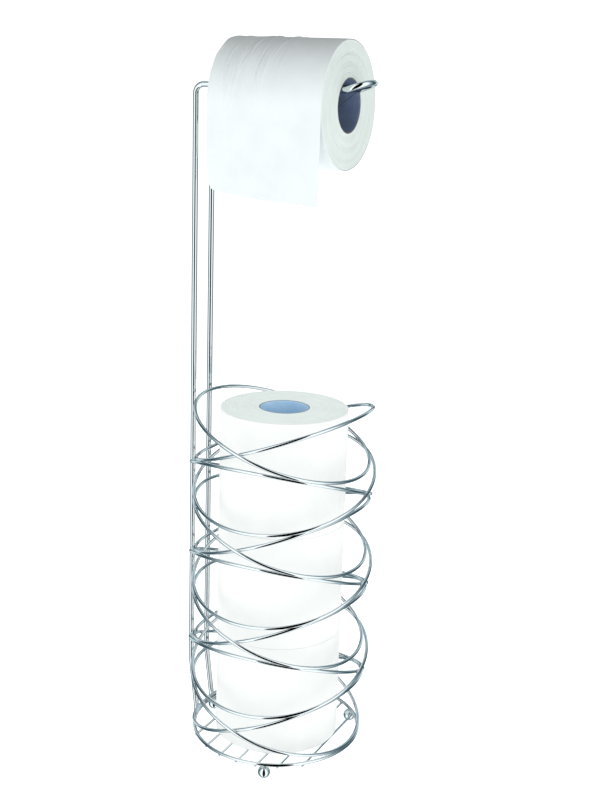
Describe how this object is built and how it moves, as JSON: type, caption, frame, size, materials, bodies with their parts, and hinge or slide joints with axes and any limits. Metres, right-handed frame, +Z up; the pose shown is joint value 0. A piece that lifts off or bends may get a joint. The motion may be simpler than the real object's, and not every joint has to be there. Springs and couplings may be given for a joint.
{
  "type": "free-standing toilet roll holder with spare roll cage",
  "caption": "Free-standing chrome wire toilet roll holder: a raised arm carries the roll in use over a round wire cage that stores a stack of spare rolls.",
  "frame": {"origin": "on the floor, at the vertical axis of the cage of wire rings", "axes": "+Z up; +X the way the arm points, so the two uprights stand at -X; +Y completes a right-handed frame, and the roll's loose end hangs on the -Y side"},
  "size_m": [0.1692, 0.166, 0.6227],
  "materials": {
    "chrome_wire": "polished",
    "tissue_paper": "matte",
    "core_card": "matte"
  },
  "bodies": {
    "stand": {"ball_foot_1": "chrome_wire", "ball_foot_2": "chrome_wire", "ball_foot_3": "chrome_wire", "base_bar_1": "chrome_wire", "base_bar_2": "chrome_wire", "base_bar_3": "chrome_wire", "base_bar_4": "chrome_wire", "base_bar_5": "chrome_wire", "base_bar_6": "chrome_wire", "base_bar_7": "chrome_wire", "base_ring": "chrome_wire", "cage_ring_1a": "chrome_wire", "cage_ring_1b": "chrome_wire", "cage_ring_2a": "chrome_wire", "cage_ring_2b": "chrome_wire", "cage_ring_3a": "chrome_wire", "cage_ring_3b": "chrome_wire", "cage_ring_4a": "chrome_wire", "cage_ring_4b": "chrome_wire", "cage_ring_5a": "chrome_wire", "cage_ring_5b": "chrome_wire", "cage_ring_6a": "chrome_wire", "cage_ring_6b": "chrome_wire", "cage_ring_7a": "chrome_wire", "cage_ring_7b": "chrome_wire", "reserve_1_core": "core_card", "reserve_1_paper": "tissue_paper", "reserve_2_core": "core_card", "reserve_2_paper": "tissue_paper", "upright_frame": "chrome_wire"},
    "hanging_roll": {"hanging_core": "core_card", "hanging_paper": "tissue_paper"},
    "tail": {"hanging_tail": "tissue_paper"},
    "top_spare_roll": {"reserve_3_core": "core_card", "reserve_3_paper": "tissue_paper"}
  },
  "joints": [
    {"name": "roll_spin", "type": "hinge", "parent": "stand", "child": "hanging_roll", "pos_m": [0, 0, 0.5717], "axis": [1, 0, 0], "continuous": true},
    {"name": "tail_hang", "type": "hinge", "parent": "hanging_roll", "child": "tail", "pos_m": [0, 0, 0.5717], "axis": [1, 0, 0], "continuous": true},
    {"name": "spare_lift", "type": "slide", "parent": "stand", "child": "top_spare_roll", "axis": [0, 0, 1], "range_m": [0, 0.115]}
  ],
  "couplings": [
    {"joint": "tail_hang", "follows": "roll_spin", "ratio": -1}
  ]
}
